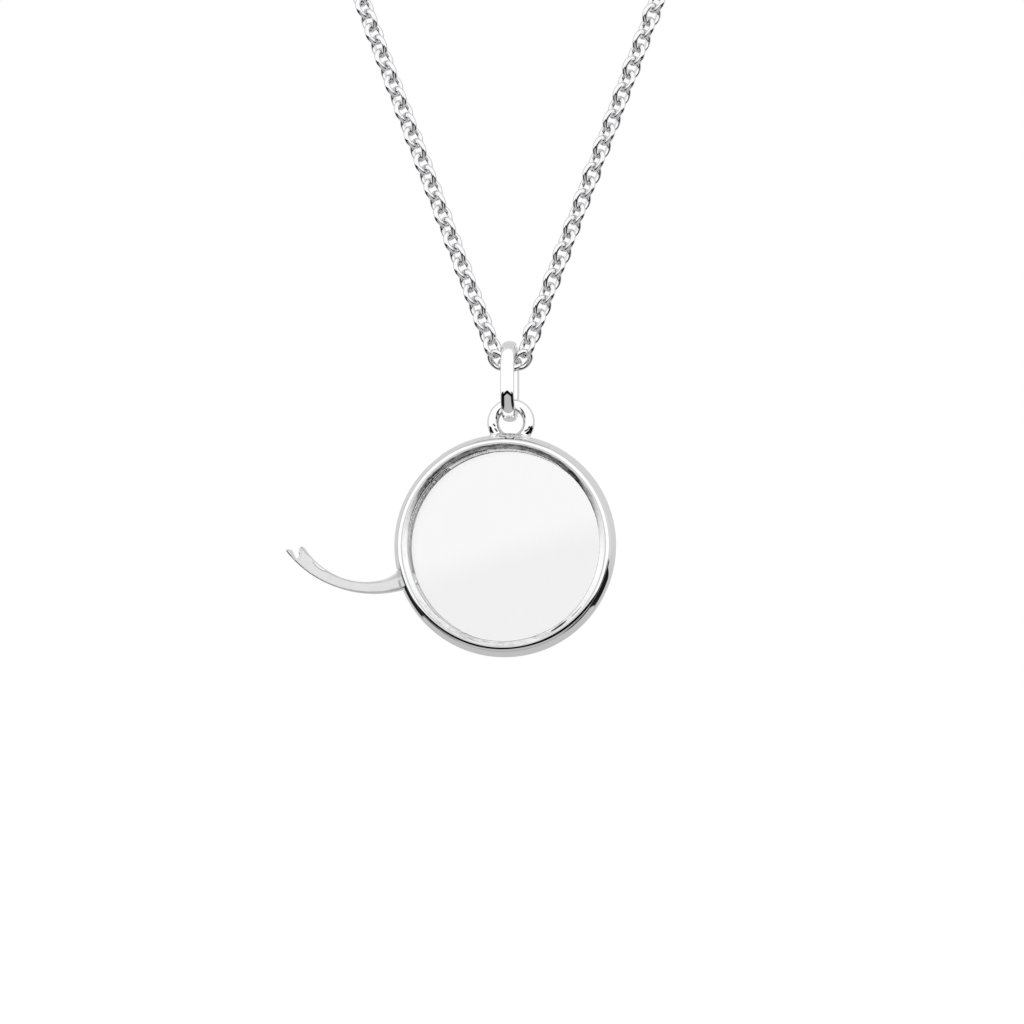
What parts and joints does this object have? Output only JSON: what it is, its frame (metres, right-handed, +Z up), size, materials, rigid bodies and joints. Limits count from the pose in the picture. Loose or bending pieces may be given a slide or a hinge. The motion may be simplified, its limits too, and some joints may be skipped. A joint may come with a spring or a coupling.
{
  "type": "floating locket necklace",
  "caption": "Round glass-fronted locket with a hinged side gate, hung from a loop and an oval bail on a closed cable chain.",
  "frame": {"origin": "the nape, where the middle of the chain's hidden back stretch and its clasp lie on the back of the neck", "axes": "+Z up; the wearer faces -Y, so the pendant hangs in front at low Y and low Z; +X to the right as seen from the front"},
  "size_m": [0.1276, 0.1229, 0.2335],
  "materials": {
    "silver": "mirror-polished sterling silver",
    "chain_silver": "polished sterling silver links",
    "glass": "clear polished flat glass"
  },
  "bodies": {
    "chain": {"chain": "chain_silver", "clasp": "silver", "end_ring": "silver"},
    "bail": {"bail": "silver"},
    "locket": {"case": "silver", "front_glass": "glass", "back_glass": "glass", "hinge_pin": "silver", "catch_pin": "silver"},
    "gate": {"gate": "silver"}
  },
  "joints": [
    {"name": "bail_swing", "type": "hinge", "parent": "chain", "child": "bail", "pos_m": [0, -0.118, -0.2], "axis": [1, 0, 0], "range_deg": [-90, 90]},
    {"name": "locket_swing", "type": "hinge", "parent": "bail", "child": "locket", "pos_m": [0, -0.118, -0.20549], "axis": [0, 1, 0], "range_deg": [-45, 45]},
    {"name": "gate_hinge", "type": "hinge", "parent": "locket", "child": "gate", "pos_m": [-0.01023, -0.118, -0.22177], "axis": [0, 1, 0], "range_deg": [0, 90.9]}
  ]
}
